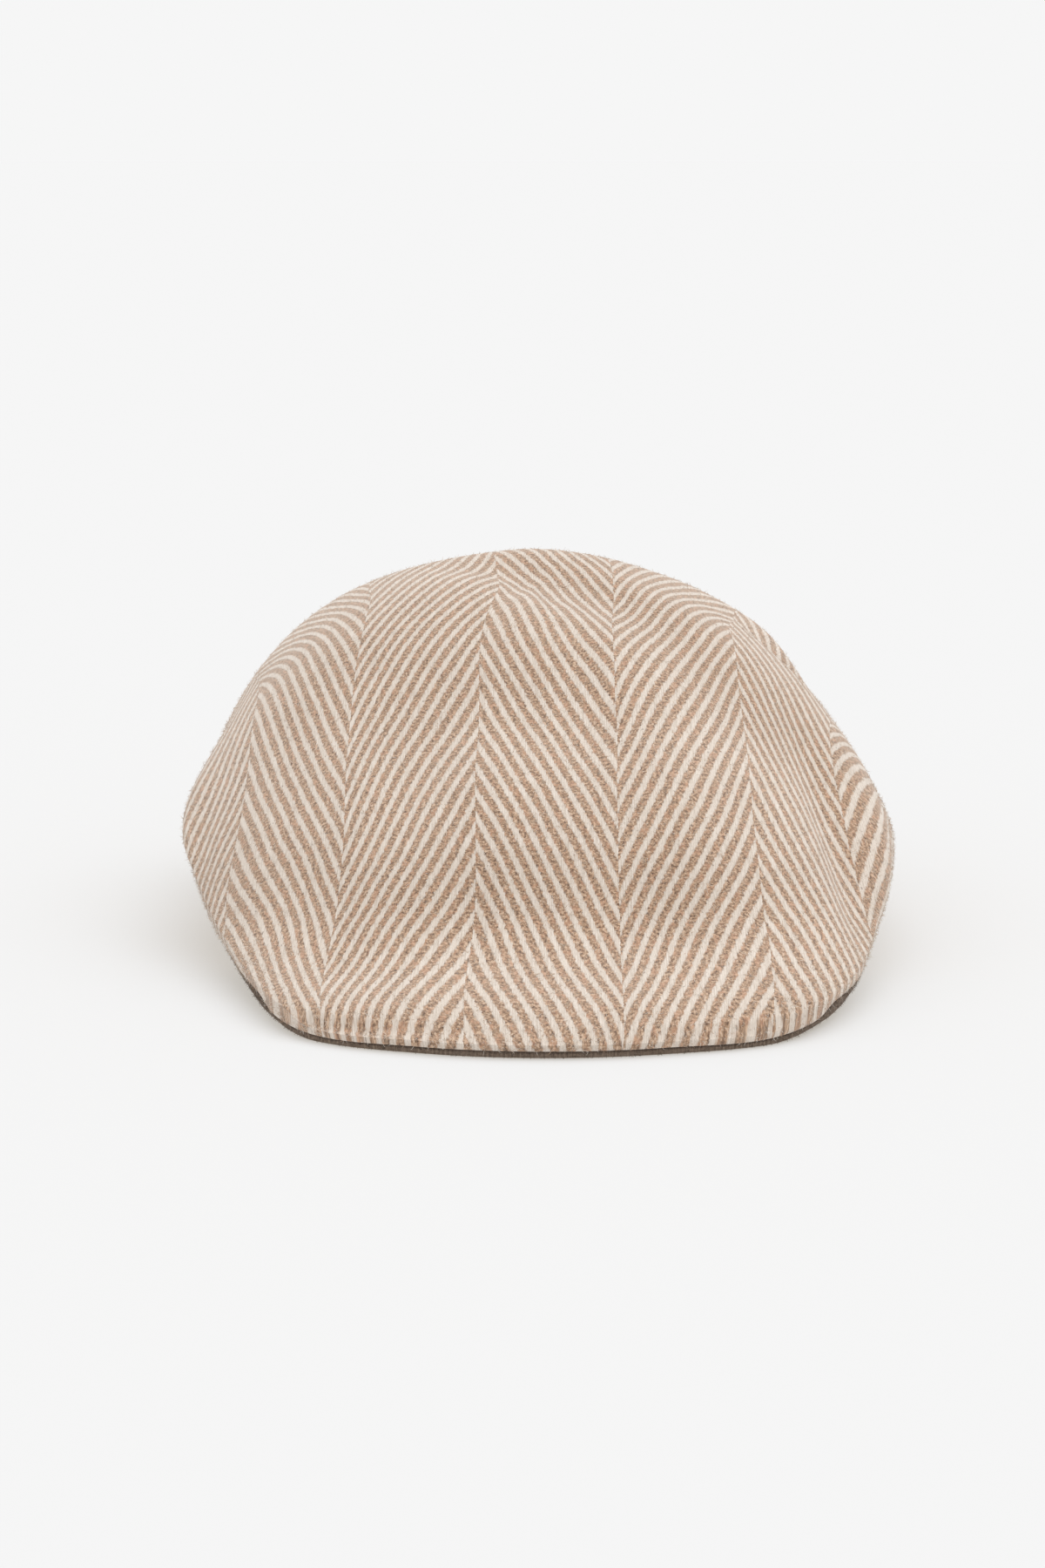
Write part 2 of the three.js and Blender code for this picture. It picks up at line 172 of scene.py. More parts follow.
def inner_skin(phi, out):
    near = normal_of(outer_skin, phi, np.minimum(out, 0.8))
    turn = np.clip((out - 0.8) / 0.2, 0, 1)[..., None]
    n = near * (1 - turn) + normal_of(outer_skin, phi, np.ones_like(out)) * turn
    n /= np.linalg.norm(n, axis=-1, keepdims=True)
    return outer_skin(phi, out) - CLOTH * n


def disc_grid(n):
    g = np.linspace(-1, 1, n)
    U, V = np.meshgrid(g, g, indexing="ij")
    return polar(U * np.sqrt(1 - V * V / 2), V * np.sqrt(1 - U * U / 2))


def resample(A, m):
    """A smooth larger or smaller copy of a square table of values (cubic between its points)."""
    n = A.shape[0]
    t = np.linspace(0, n - 1, m)
    i = np.minimum(t.astype(int), n - 2)
    f = t - i

    def along(B, axis):
        B = np.moveaxis(B, axis, 0)
        first, last = 2 * B[:1] - B[1:2], 2 * B[-1:] - B[-2:-1]
        C = np.concatenate([first, B, last])
        shape = (-1,) + (1,) * (B.ndim - 1)
        u = f.reshape(shape)
        p0, p1, p2, p3 = C[i], C[i + 1], C[i + 2], C[i + 3]
        D = 0.5 * (2 * p1 + (p2 - p0) * u + (2 * p0 - 5 * p1 + 4 * p2 - p3) * u**2 + (3 * p1 - p0 - 3 * p2 + p3) * u**3)
        return np.moveaxis(D, 0, axis)
    return along(along(A, 0), 1)


def flatten(P, uv, rounds):
    """Lays the skin's grid P flat with as little stretch as it can: the cloth's own coordinates, in mm."""
    n, c = P.shape[0], P.shape[0] // 2
    links = [(1, 0, 1.0), (0, 1, 1.0), (1, 1, 0.7), (1, -1, 0.7)]
    parts = []
    for di, dj, w in links:
        a = (slice(0, n - di), slice(max(0, -dj), n - max(0, dj)))
        b = (slice(di, n), slice(max(0, -dj) + dj, n - max(0, dj) + dj))
        parts.append((a, b, w, np.linalg.norm(P[b] - P[a], axis=-1)))
    weight = np.zeros((n, n, 1))
    for a, b, w, _ in parts:
        weight[a] += w
        weight[b] += w
    speed = np.zeros_like(uv)
    for _ in range(rounds):
        force = np.zeros_like(uv)
        for a, b, w, length in parts:
            d = uv[b] - uv[a]
            now = np.sqrt((d * d).sum(-1)) + 1e-9
            f = (w * (now - length) / now)[..., None] * d
            force[a] += f
            force[b] -= f
        speed = 0.9 * speed + 0.5 * force / weight
        uv = uv + speed
        uv[c, :, 0] = 0.0
    return uv


def eased(cloth):
    """The cloth's coordinates with its pulls; behind the crown's middle they fade out slowly."""
    v = cloth[..., 1]
    at = np.stack([np.clip(cloth[..., 0], -124, 124), np.where(v > -5, -5 + (v + 5) * 0.25, np.maximum(v, -203))], -1)
    table = np.array(EASE)
    out = cloth.copy()
    for u0, v0, du, dv in table:
        w = np.exp(-((at[..., 0] - u0) ** 2 + (at[..., 1] - v0) ** 2) / EASE_REACH**2)
        out[..., 0] += du * w
        out[..., 1] += dv * w
    return out


def hang_straight(P, uv, rounds=1500):
    """At the low front the cloth is shaped to the edge: its yarns run straight down, in planes across the cap."""
    n = P.shape[0]
    N = unit(np.cross(np.gradient(P, axis=0), np.gradient(P, axis=1)))
    t = unit(np.cross(N, np.array([1.0, 0.0, 0.0])))
    t = t * np.sign(t[..., 1:2] + t[..., 2:3])
    angle = np.degrees(np.abs(np.arctan2(P[..., 0], -P[..., 1])))
    free = smooth((30 - P[..., 2]) / 12) * smooth((68 - angle) / 16)
    links = []
    for di, dj in ((1, 0), (0, 1), (1, 1), (1, -1)):
        a = (slice(0, n - di), slice(max(0, -dj), n - max(0, dj)))
        b = (slice(di, n), slice(max(0, -dj) + dj, n - max(0, dj) + dj))
        step = P[b] - P[a]
        want = np.stack([step[..., 0], (step * (t[a] + t[b]) / 2).sum(-1)], -1)
        links.append((a, b, want, 1 / (np.linalg.norm(step, axis=-1, keepdims=True) + 0.4)))
    new = uv.copy()
    for _ in range(rounds):
        total, weight = np.zeros_like(uv), np.zeros((n, n, 1))
        for a, b, want, w in links:
            total[b] += w * (new[a] + want)
            weight[b] += w
            total[a] += w * (new[b] - want)
            weight[a] += w
        new = new + (total / weight - new) * (free > 0)[..., None]
    return uv + (new - uv) * free[..., None]


def unfold_rim(P, uv, rounds=700):
    """Round the sides, where the edge turns under, the flat cloth is laid again without local folds."""
    n = P.shape[0]
    a, b = np.gradient(P, axis=0), np.gradient(P, axis=1)
    E, F, G = (a * a).sum(-1), (a * b).sum(-1), (b * b).sum(-1)
    area = E * G - F * F + 1e-4
    Da = (G[..., None] * a - F[..., None] * b) / area[..., None]
    Db = (E[..., None] * b - F[..., None] * a) / area[..., None]
    ua, ub = np.gradient(uv, axis=0), np.gradient(uv, axis=1)
    J = ua[..., :, None] * Da[..., None, :] + ub[..., :, None] * Db[..., None, :]
    J = np.clip(J, -1.6, 1.6)
    trust = (area / (area + 1.0))[..., None, None]
    top, low = J * trust, np.broadcast_to(trust, J.shape).copy()
    for _ in range(4):
        for axis in (0, 1):
            for T in (top, low):
                M = np.moveaxis(T, axis, 0)
                M[1:-1] = (M[:-2] + 2 * M[1:-1] + M[2:]) / 4
    J = top / low
    N = unit(np.cross(a, b))
    r1, r2 = [J[..., k, :] - (J[..., k, :] * N).sum(-1, keepdims=True) * N for k in (0, 1)]
    r1, r2 = unit(r1), unit(r2)
    d, s = unit(r1 + r2), unit(r1 - r2)
    r1, r2 = (d + s) / math.sqrt(2), (d - s) / math.sqrt(2)
    angle = np.degrees(np.abs(np.arctan2(P[..., 0], -P[..., 1])))
    height = 44 + 18 * smooth((angle - 84) / 20)        # the edge stands higher at the back
    free = smooth((height - P[..., 2]) / 10) * smooth((angle - 50) / 12)
    links = []
    for di, dj in ((1, 0), (0, 1), (1, 1), (1, -1)):
        x = (slice(0, n - di), slice(max(0, -dj), n - max(0, dj)))
        y = (slice(di, n), slice(max(0, -dj) + dj, n - max(0, dj) + dj))
        step = P[y] - P[x]
        want = np.stack([(step * (r1[x] + r1[y])).sum(-1), (step * (r2[x] + r2[y])).sum(-1)], -1) / 2
        links.append((x, y, want, 1 / (np.linalg.norm(step, axis=-1, keepdims=True) + 0.4)))
    new = uv.copy()
    for _ in range(rounds):
        total, weight = np.zeros_like(uv), np.zeros((n, n, 1))
        for x, y, want, w in links:
            total[y] += w * (new[x] + want)
            weight[y] += w
            total[x] += w * (new[y] - want)
            weight[x] += w
        new = new + (total / weight - new) * (free > 0)[..., None]
    return uv + (new - uv) * free[..., None]


def front_sag(P):
    """The lower front, crown edge and peak together, stands a little further out."""
    x, y = P[..., 0], P[..., 1] - MIDDLE_Y
    r = np.hypot(x, y) + 1e-9
    angle = np.degrees(np.abs(np.arctan2(x, -y)))
    out = FRONT_OUT * smooth((44 - angle) / 20) - CORNER_IN * np.exp(-((angle - 49) / 10) ** 2)
    out = out - 3.6 * np.exp(-((angle - 44) / 13) ** 2) * smooth((3.2 - P[..., 2]) / 2)
    w = out * smooth((r - 90) / 50) * smooth((34 - P[..., 2]) / 28)
    Q = P.copy()
    Q[..., 0] += x / r * w
    Q[..., 1] += y / r * w
    # and rolls over to its edge instead of lying flat before it
    z = P[..., 2]
    roll = smooth((41 - angle) / 15) * smooth((r - 90) / 20) * smooth((z - 4.4) / 1.6) * (1 - smooth((z - 6) / 12))
    Q[..., 2] += FRONT_ROLL * roll
    return Q


def cloth_coordinates():
    n = 41
    P = outer_skin(*disc_grid(n))
    du = np.linalg.norm(np.diff(P, axis=0), axis=-1)
    dv = np.linalg.norm(np.diff(P, axis=1), axis=-1)
    c = n // 2
    along = np.concatenate([[0], np.cumsum(dv[c])])
    across = np.concatenate([np.zeros((1, n)), np.cumsum(du, 0)], 0)
    uv = np.stack([across - across[c:c + 1], np.broadcast_to((along - along[c])[None, :], (n, n))], -1)
    uv = flatten(P, uv.copy(), 1200)
    uv = resample(uv, 81)
    uv[40, :, 0] = 0.0
    P = outer_skin(*disc_grid(81))
    return unfold_rim(P, hang_straight(P, flatten(P, uv, 700)))


# ---- mesh making ---------------------------------------------------------------
def to_world(P):
    return (np.asarray(P, float) + SHIFT) * 0.001


def make_mesh(name, verts, faces, uv=None, bake=None, material=None, fix=True):
    """verts in metres; uv: one pair for each vertex; bake: one pair for each face corner."""
    me = bpy.data.meshes.new(name)
    me.from_pydata(np.asarray(verts).tolist(), [], faces)
    me.update()
    corners = np.empty(len(me.loops), dtype=np.int32)
    me.loops.foreach_get("vertex_index", corners)
    if uv is not None:
        layer = me.uv_layers.new(name="cloth")
        layer.data.foreach_set("uv", np.asarray(uv, dtype=np.float32)[corners].ravel())
    if bake is not None:
        layer = me.uv_layers.new(name="OFBake")
        layer.data.foreach_set("uv", np.asarray(bake, dtype=np.float32).ravel())
    if fix:
        bm = bmesh.new()
        bm.from_mesh(me)
        bmesh.ops.recalc_face_normals(bm, faces=bm.faces)
        bm.to_mesh(me)
        bm.free()
    me.polygons.foreach_set("use_smooth", np.ones(len(me.polygons), dtype=bool))
    me.update()
    ob = bpy.data.objects.new(name, me)
    bpy.context.scene.collection.objects.link(ob)
    if material:
        me.materials.append(material)
    return ob


def ring_of(n, base, ids=None):
    """The border of an n x n grid of vertex numbers, counted from its first corner."""
    k = lambda i, j: base + i * n + j
    return ([k(i, 0) for i in range(n - 1)] + [k(n - 1, j) for j in range(n - 1)]
            + [k(i, n - 1) for i in range(n - 1, 0, -1)] + [k(0, j) for j in range(n - 1, 0, -1)])


def crown_mesh(material):
    phi, out = disc_grid(FINE)
    P = outer_skin(phi, out)
    P = P + normal_of(outer_skin, phi, out) * bumps(phi, out, CREASES)[..., None]
    P = front_sag(P)
    cloth = eased(resample(cloth_coordinates(), FINE))
    phi2, out2 = disc_grid(COARSE)
    Q = front_sag(inner_skin(phi2, out2))
    verts = np.concatenate([P.reshape(-1, 3), Q.reshape(-1, 3)])
    step = (FINE - 1) // (COARSE - 1)
    uv = np.concatenate([cloth.reshape(-1, 2), cloth[::step, ::step].reshape(-1, 2)]) / 100
    faces, bake = [], []
    cell = 0.76 / FINE
    for i in range(FINE - 1):
        for j in range(FINE - 1):
            a = i * FINE + j
            faces.append((a, a + FINE, a + FINE + 1, a + 1))
            x, y = 0.004 + i * cell, 0.004 + j * cell
            bake += [(x, y), (x + cell, y), (x + cell, y + cell), (x, y + cell)]
    base = FINE * FINE
    cell = 0.215 / COARSE
    for i in range(COARSE - 1):
        for j in range(COARSE - 1):
            a = base + i * COARSE + j
            faces.append((a, a + 1, a + COARSE + 1, a + COARSE))
            x, y = 0.775 + i * cell, 0.004 + j * cell
            bake += [(x, y), (x, y + cell), (x + cell, y + cell), (x + cell, y)]
    fine, rough = ring_of(FINE, 0), ring_of(COARSE, base)
    m, per_side = len(rough), COARSE - 1
    for e in range(m):
        a, b = rough[e], rough[(e + 1) % m]
        f = [fine[(e * step + t) % len(fine)] for t in range(step + 1)]
        row, x0 = divmod(e, per_side)
        w = 0.98 / per_side
        lo, hi = 0.80 + 0.045 * row, 0.83 + 0.045 * row
        xa, xb = 0.008 + x0 * w, 0.008 + (x0 + 1) * w
        top = [(xa + (xb - xa) * t / step, hi) for t in range(step + 1)]
        half = step // 2
        for t in range(half):
            faces.append((a, f[t + 1], f[t]))
            bake += [(xa, lo), top[t + 1], top[t]]
        faces.append((a, b, f[half]))
        bake += [(xa, lo), (xb, lo), top[half]]
        for t in range(half, step):
            faces.append((b, f[t + 1], f[t]))
            bake += [(xb, lo), top[t + 1], top[t]]
    ob = make_mesh("crown_cloth", to_world(verts), faces, uv, bake, material, fix=False)
    return ob, P, cloth, normal_of(outer_skin, phi, out)


# ---- underside: side panels and peak ---------------------------------------------
def peak_share(phi):
    return 1 - smooth((np.abs(phi) - 38) / 24)


def unit(v):
    return v / (np.linalg.norm(v, axis=-1, keepdims=True) + 1e-12)


def underside_curve(phi):
    phi = np.asarray(phi, float)
    k = peak_share(phi)[..., None]
    a = np.radians(phi)
    one = np.ones_like(phi)
    seam = outer_skin(phi, one)
    inwards = np.stack([-np.sin(a), np.cos(a), 0 * a], -1)
    start = seam + inwards * (0.28 + 0.72 * k)
    start[..., 2] = np.maximum(0, seam[..., 2] - 1.5 * GAP - 1.9 * k[..., 0])
    dx, dy = seam[..., 0], seam[..., 1] - HEAD_Y
    d = np.hypot(dx, dy)
    r = 1 / np.hypot(dx / d / HEAD_W, dy / d / HEAD_L) + HEM
    end = np.stack([dx / d * r, HEAD_Y + dy / d * r, FRONT_RISE * (1 - smooth((np.abs(phi) - 38) / 60))], -1)
    flat = end - start
    flat[..., 2] = 0
    flat = unit(flat)
    span = np.linalg.norm(end - start, axis=-1, keepdims=True)
    turned = unit(seam - outer_skin(phi, 0.985 * one))
    leave = unit(turned * (1 - k) + flat * k)
    rising = flat.copy()
    rising[..., 2] = 0.25
    arrive = unit(np.array([0, 0, -1.0]) * (1 - k) + unit(rising) * k)
    return np.stack([start, start + leave * span * 0.36, end - arrive * span * 0.36, end], -2)


def underside(phi, s):
    phi, s = np.broadcast_arrays(np.asarray(phi, float), np.asarray(s, float))
    C = underside_curve(phi)
    s = s[..., None]
    return ((1 - s)**3 * C[..., 0, :] + 3 * (1 - s)**2 * s * C[..., 1, :]
            + 3 * (1 - s) * s**2 * C[..., 2, :] + s**3 * C[..., 3, :])


def into_cloth(phi, s):
    a = underside(phi + 0.3, s) - underside(phi - 0.3, s)
    b = underside(phi, np.minimum(1, s + 0.01)) - underside(phi, np.maximum(0, s - 0.01))
    return -unit(np.cross(b, a))


def curve_length(phi):
    t = np.linspace(0, 1, 60)
    P = underside(phi[:, None], t[None, :])
    return np.linalg.norm(np.diff(P, axis=1), axis=-1).sum(1)


def peak_limit(phi):
    p = np.abs(phi)
    return np.where(p < SIDE_START, 1.0, 0.04 + 0.86 * (1 - smooth((p - SIDE_START) / (PEAK_END - SIDE_START))))


def wall_mesh(name, outer, inner, material, coords):
    """Closed wall between two sheets of points, outer[i, j] and inner[i, j]; coords[i, j] is the cloth's place, in mm."""
    outer, inner = front_sag(outer), front_sag(inner)
    n, m = outer.shape[:2]
    verts = np.concatenate([outer.reshape(-1, 3), inner.reshape(-1, 3)])
    o, k = (lambda i, j: i * m + j), (lambda i, j: n * m + i * m + j)
    faces = []
    for i in range(n - 1):
        for j in range(m - 1):
            faces.append((o(i, j), o(i, j + 1), o(i + 1, j + 1), o(i + 1, j)))
            faces.append((k(i, j), k(i + 1, j), k(i + 1, j + 1), k(i, j + 1)))
        faces.append((o(i, m - 1), k(i, m - 1), k(i + 1, m - 1), o(i + 1, m - 1)))
        faces.append((o(i + 1, 0), k(i + 1, 0), k(i, 0), o(i, 0)))
    for j in range(m - 1):
        faces.append((o(0, j + 1), o(0, j), k(0, j), k(0, j + 1)))
        faces.append((o(n - 1, j), o(n - 1, j + 1), k(n - 1, j + 1), k(n - 1, j)))
    uv = np.concatenate([coords.reshape(-1, 2)] * 2) / 100
    return make_mesh(name, to_world(verts), faces, uv, None, material)


def flat_coords(P, shift):
    """Length across and along a sheet of points, as the cloth's place."""
    along = np.concatenate([np.zeros((P.shape[0], 1)), np.cumsum(np.linalg.norm(np.diff(P, axis=1), axis=-1), 1)], 1)
    mid = P.shape[1] // 2
    across = np.concatenate([[0], np.cumsum(np.linalg.norm(np.diff(P[:, mid], axis=0), axis=-1))])
    return np.stack([np.broadcast_to(across[:, None], along.shape) + shift[0], along + shift[1]], -1)


def side_mesh(name, sign, material):
    n, m = 181, 37
    phi = sign * (SIDE_START + 0.3 + (179.86 - SIDE_START - 0.3) * (np.linspace(0, 1, n) ** 1.1))
    length = curve_length(phi)
    start = np.where(np.abs(phi) < PEAK_END + 1, peak_limit(phi) + SEAM_GAP / length, 0.0)
    s = start[:, None] + (1 - start[:, None]) * np.linspace(0, 1, m)[None, :]
    ph = np.broadcast_to(phi[:, None], s.shape)
    P = underside(ph, s)
    Q = P + into_cloth(ph, s) * (CLOTH + (HEM - CLOTH) * smooth((s - 0.75) / 0.2))[..., None]
    back = np.abs(phi) > 98
    P[back, -1, 2] = 0
    Q[back, -1, 2] = 0
    P[..., 2] = np.maximum(P[..., 2], 0)
    Q[..., 2] = np.maximum(Q[..., 2], 0)
    ob = wall_mesh(name, P, Q, material, flat_coords(P, (17.0 * sign, 5.0)))
    return ob, P, phi, s


def room_under_crown(phi, r):
    """Height that the peak may reach under the crown, at one place along each section."""
    outs = np.linspace(1.0, 0.3, 71)
    C = inner_skin(phi[:, None] + 0 * outs[None, :], outs[None, :] + 0 * phi[:, None])
    radius = np.hypot(C[..., 0], C[..., 1] - MIDDLE_Y)
    seam = outer_skin(phi, np.ones_like(phi))[:, 2]
    high = np.empty_like(r)
    for i in range(len(phi)):
        beside = seam[i] - 0.1 + np.maximum(0, radius[i, 0] - r[i] - 0.3) * 0.9
        over = np.interp(r[i], radius[i][::-1], C[i, ::-1, 2])
        high[i] = np.where(r[i] > radius[i, 0], beside, np.minimum(beside, over))
    return high


def peak_mesh(material):
    half = SIDE_START - 0.2
    corner = SIDE_START + (PEAK_END - SIDE_START) * np.linspace(0, 1, 25)
    phi = np.concatenate([-corner[::-1], np.linspace(-half, half, 101), corner])
    length = curve_length(phi)
    to = peak_limit(phi) - np.where(np.abs(phi) >= SIDE_START, SEAM_GAP / length, 0)
    m = 25
    s = to[:, None] * (np.linspace(0, 1, m) ** 1.5)[None, :]
    ph = np.broadcast_to(phi[:, None], s.shape)
    P = underside(ph, s)
    k = peak_share(phi)[:, None]
    r = np.hypot(P[..., 0], P[..., 1] - MIDDLE_Y)
    Q = P.copy()
    Q[..., 2] = np.minimum(P[..., 2] + PEAK_THICK, room_under_crown(phi, r) - (4.5 - 2.5 * k) * GAP)
    Q[:, 0, 2] = outer_skin(phi, np.ones_like(phi))[:, 2] - GAP - 0.9 + 1.1 * k[:, 0]
    Q[..., 2] = np.maximum(Q[..., 2], P[..., 2] + PEAK_TIP)
    ob = wall_mesh("peak_cloth", P, Q, material, flat_coords(P, (0, 0)))
    return ob, front_sag(P), front_sag(Q)


# ---- materials -----------------------------------------------------------------
def lin(r, g, b):
    f = lambda c: (c / 255) / 12.92 if c <= 10.3 else (((c / 255) + 0.055) / 1.055) ** 2.4
    return (f(r), f(g), f(b), 1.0)


class Shader:
    def __init__(self, name):
        self.mat = bpy.data.materials.new(name)
        self.mat.use_nodes = True
        self.tree = self.mat.node_tree
        self.bsdf = self.tree.nodes["Principled BSDF"]

    def put(self, socket, value):
        if isinstance(value, bpy.types.NodeSocket):
            self.tree.links.new(value, socket)
        elif value is not None:
            socket.default_value = value

    def node(self, kind, **settings):
        n = self.tree.nodes.new(kind)
        for key, value in settings.items():
            setattr(n, key, value)
        return n

    def math(self, op, a, b=None, c=None, clamp=False):
        n = self.node("ShaderNodeMath", operation=op, use_clamp=clamp)
        for s, v in zip(n.inputs, (a, b, c)):
            self.put(s, v)
        return n.outputs[0]

    def vec(self, op, a, b=None):
        n = self.node("ShaderNodeVectorMath", operation=op)
        self.put(n.inputs[0], a)
        if b is not None:
            self.put(n.inputs[3] if op == "SCALE" else n.inputs[1], b)
        return n.outputs[0]

    def split(self, v):
        n = self.node("ShaderNodeSeparateXYZ")
        self.put(n.inputs[0], v)
        return n.outputs[0], n.outputs[1], n.outputs[2]

    def join(self, x, y, z=0.0):
        n = self.node("ShaderNodeCombineXYZ")
        for s, v in zip(n.inputs, (x, y, z)):
            self.put(s, v)
        return n.outputs[0]

    def noise(self, v, scale=1.0, detail=2.0, rough=0.5, dims="2D", distortion=0.0, colour=False):
        n = self.node("ShaderNodeTexNoise", noise_dimensions=dims)
        self.put(n.inputs["Vector"], v)
        n.inputs["Scale"].default_value = scale
        n.inputs["Detail"].default_value = detail
        n.inputs["Roughness"].default_value = rough
        n.inputs["Distortion"].default_value = distortion
        return n.outputs["Color"] if colour else n.outputs["Fac"]

    def white(self, w):
        n = self.node("ShaderNodeTexWhiteNoise", noise_dimensions="1D")
        self.put(n.inputs["W"], w)
        return n.outputs["Value"]

    def ease(self, v, lo, hi, a=0.0, b=1.0):
        n = self.node("ShaderNodeMapRange", interpolation_type="SMOOTHSTEP")
        for s, x in zip(n.inputs, (v, lo, hi, a, b)):
            self.put(s, x)
        return n.outputs[0]

    def span(self, v, lo, hi, a, b):
        n = self.node("ShaderNodeMapRange")
        for s, x in zip(n.inputs, (v, lo, hi, a, b)):
            self.put(s, x)
        return n.outputs[0]

    def mix(self, f, a, b, kind="MIX"):
        n = self.node("ShaderNodeMix", data_type="RGBA", blend_type=kind)
        self.put(n.inputs[0], f)
        self.put(n.inputs[6], a)
        self.put(n.inputs[7], b)
        return n.outputs[2]

    def ramp(self, f, stops):
        n = self.node("ShaderNodeValToRGB")
        el = n.color_ramp.elements
        while len(el) < len(stops):
            el.new(0.5)
        for e, (at, c) in zip(el, stops):
            e.position, e.color = at, c
        self.put(n.inputs[0], f)
        return n.outputs[0]

    def finish(self, colour, height, distance, rough=0.95, sheen=0.12, sheen_tint=(1.0, 0.95, 0.9, 1.0)):
        b = self.bsdf
        self.put(b.inputs["Base Color"], colour)
        self.put(b.inputs["Roughness"], rough)
        b.inputs["Specular IOR Level"].default_value = 0.15
        b.inputs["Sheen Weight"].default_value = sheen
        b.inputs["Sheen Roughness"].default_value = 0.6
        b.inputs["Sheen Tint"].default_value = sheen_tint
        n = self.node("ShaderNodeBump")
        n.inputs["Strength"].default_value = 1.0
        n.inputs["Distance"].default_value = distance
        self.put(n.inputs["Height"], height)
        self.put(b.inputs["Normal"], n.outputs[0])
        return self.mat


COLUMN = 48.3       # mm, width of one herringbone column
PERIOD = 10.4       # mm, from stripe to stripe along the cloth
SLOPE = 1.98        # rise of a stripe over its run
YARN = 0.7          # mm, from yarn to yarn
CREAM_SHARE = 0.42
BREAK = 0.5         # how far the stripes jump at each column line, in periods


def herringbone(name, tone=1.0, start=(1.5, 0.0)):
    g = Shader(name)
    place = g.node("ShaderNodeUVMap", uv_map="cloth").outputs[0]
    mm = g.vec("SCALE", place, 100.0)
    # the cloth is never quite straight
    drift = g.noise(mm, 0.045, 2.0, 0.5, colour=True)
    drift = g.vec("SCALE", g.vec("SUBTRACT", drift, (0.5, 0.5, 0.5)), 1.0)
    hairy = g.noise(mm, 0.9, 2.0, 0.6, colour=True)
    hairy = g.vec("SCALE", g.vec("SUBTRACT", hairy, (0.5, 0.5, 0.5)), 0.9)
    u, v, _ = g.split(g.vec("ADD", g.vec("ADD", mm, drift), hairy))
    # yarns: the pattern steps from one to the next
    number = g.math("FLOOR", g.math("DIVIDE", u, YARN))
    stepped = g.math("MULTIPLY", g.math("ADD", number, 0.5), YARN)
    ue = g.math("ADD", g.math("MULTIPLY", u, 0.35), g.math("MULTIPLY", stepped, 0.65))
    ve = g.math("ADD", v, g.math("MULTIPLY", g.math("SUBTRACT", g.white(number), 0.5), 0.7))
    x = g.math("SUBTRACT", ue, start[0])
    wave = g.math("SUBTRACT", g.math("PINGPONG", g.math("ADD", x, COLUMN / 2), COLUMN), COLUMN / 2)
    odd = g.math("FLOORED_MODULO", g.math("FLOOR", g.math("ADD", g.math("DIVIDE", x, COLUMN), 0.5)), 2.0)
    phase = g.math("ADD", g.math("DIVIDE", g.math("SUBTRACT", ve, start[1]), PERIOD),
                   g.math("MULTIPLY", wave, SLOPE / PERIOD))
    phase = g.math("ADD", phase, g.math("MULTIPLY", odd, BREAK))
    off = g.math("PINGPONG", g.math("SUBTRACT", phase, CREAM_SHARE / 2), 0.5)      # 0 mid cream, 0.5 mid tan
    edge = CREAM_SHARE / 2
    cream = g.ease(off, edge + 0.08, edge - 0.07)
    # cream: straight bright yarns, side by side
    strand = g.noise(g.vec("MULTIPLY", mm, (2.6, 0.16, 1.0)), 1.0, 3.0, 0.6)
    rib = g.math("COSINE", g.math("MULTIPLY", g.math("ADD", u, g.math("MULTIPLY", strand, 0.5)), 2 * math.pi / YARN))
    cream_tone = g.ramp(strand, [(0.25, lin(198, 184, 170)), (0.5, lin(224, 211, 198)), (0.75, lin(236, 226, 216))])
    # painted shade: the cream is darker in the grooves between its yarns, where the relief is low
    cream_tone = g.mix(g.span(rib, -1.0, 1.0, 0.22, 0.0), cream_tone, lin(196, 182, 166))
    # tan: mottled felt with warm and dark flecks
    grain = g.noise(g.vec("MULTIPLY", mm, (0.85, 1.25, 1.0)), 1.0, 2.0, 0.75)
    tan_tone = g.ramp(grain, [(0.30, lin(96, 73, 57)), (0.42, lin(142, 112, 88)), (0.53, lin(170, 137, 110)),
                              (0.68, lin(212, 182, 155))])
    warm = g.noise(mm, 0.42, 2.0, 0.6)
    tan_tone = g.mix(g.ease(warm, 0.5, 0.68, 0.0, 0.45), tan_tone, lin(200, 152, 122))
    grey = g.noise(g.vec("ADD", mm, (31.0, 7.0, 0.0)), 0.5, 2.0, 0.6)
    tan_tone = g.mix(g.ease(grey, 0.55, 0.72, 0.0, 0.4), tan_tone, lin(166, 146, 126))
    colour = g.mix(cream, tan_tone, cream_tone)
    # fibres lie across the stripes' edges
    web = g.noise(g.vec("MULTIPLY", mm, (1.1, 0.5, 1.0)), 1.0, 4.0, 0.75, distortion=1.6)
    colour = g.mix(g.ease(web, 0.56, 0.68, 0.0, 0.38), colour, lin(226, 210, 192))
    fleck = g.noise(g.vec("ADD", mm, (5.0, 77.0, 0.0)), 0.55, 1.0, 0.4)
    colour = g.mix(g.ease(fleck, 0.8, 0.84, 0.0, 0.5), colour, lin(104, 82, 66))
    broad = g.noise(mm, 0.03, 2.0, 0.5)
    # a tone below 1 darkens the whole cloth; the side panels' copy uses it as painted shade
    colour = g.mix(1.0, colour, g.ramp(broad, [(0.3, (0.95 * tone, 0.945 * tone, 0.94 * tone, 1)),
                                               (0.7, (1.0 * tone, 1.0 * tone, 1.0 * tone, 1))]), "MULTIPLY")
    # relief: cream yarns stand over the tan ground
    height = g.math("ADD", g.math("MULTIPLY", cream, g.math("ADD", 0.55, g.math("MULTIPLY", rib, 0.16))),
                    g.math("MULTIPLY", grain, 0.55))
    height = g.math("ADD", height, g.math("MULTIPLY", web, 0.5))
    return g.finish(colour, height, 0.00028, sheen=0.5)


